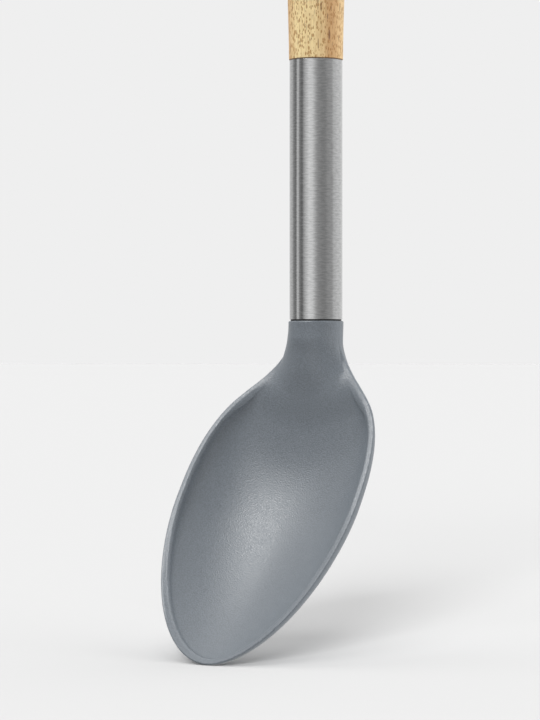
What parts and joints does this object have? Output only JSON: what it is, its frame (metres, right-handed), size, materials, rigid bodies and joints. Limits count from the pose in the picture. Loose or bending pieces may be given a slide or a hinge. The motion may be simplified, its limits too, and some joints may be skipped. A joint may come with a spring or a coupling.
{
  "type": "serving spoon",
  "caption": "Serving spoon: moulded nylon bowl and neck, brushed steel sleeve and turned wooden grip with a hanging hole, joined by a hidden tie rod.",
  "frame": {"origin": "middle of the hanging hole in the grip", "axes": "+Z along the handle towards the rounded end, +X across the bowl, +Y along the hanging hole; the bowl is hollow towards -Y"},
  "size_m": [0.069, 0.0826, 0.3341],
  "materials": {
    "grip_wood": "satin",
    "sleeve_steel": "brushed",
    "head_nylon": "satin",
    "seal_rubber": "matte",
    "insert_brass": "machined",
    "rod_steel": "zinc plated"
  },
  "bodies": {
    "root": {"wooden_grip": "grip_wood", "grip_insert": "insert_brass", "tie_rod": "rod_steel", "steel_sleeve": "sleeve_steel", "head_seal": "seal_rubber", "head_insert": "insert_brass", "nylon_head": "head_nylon"}
  },
  "joints": []
}
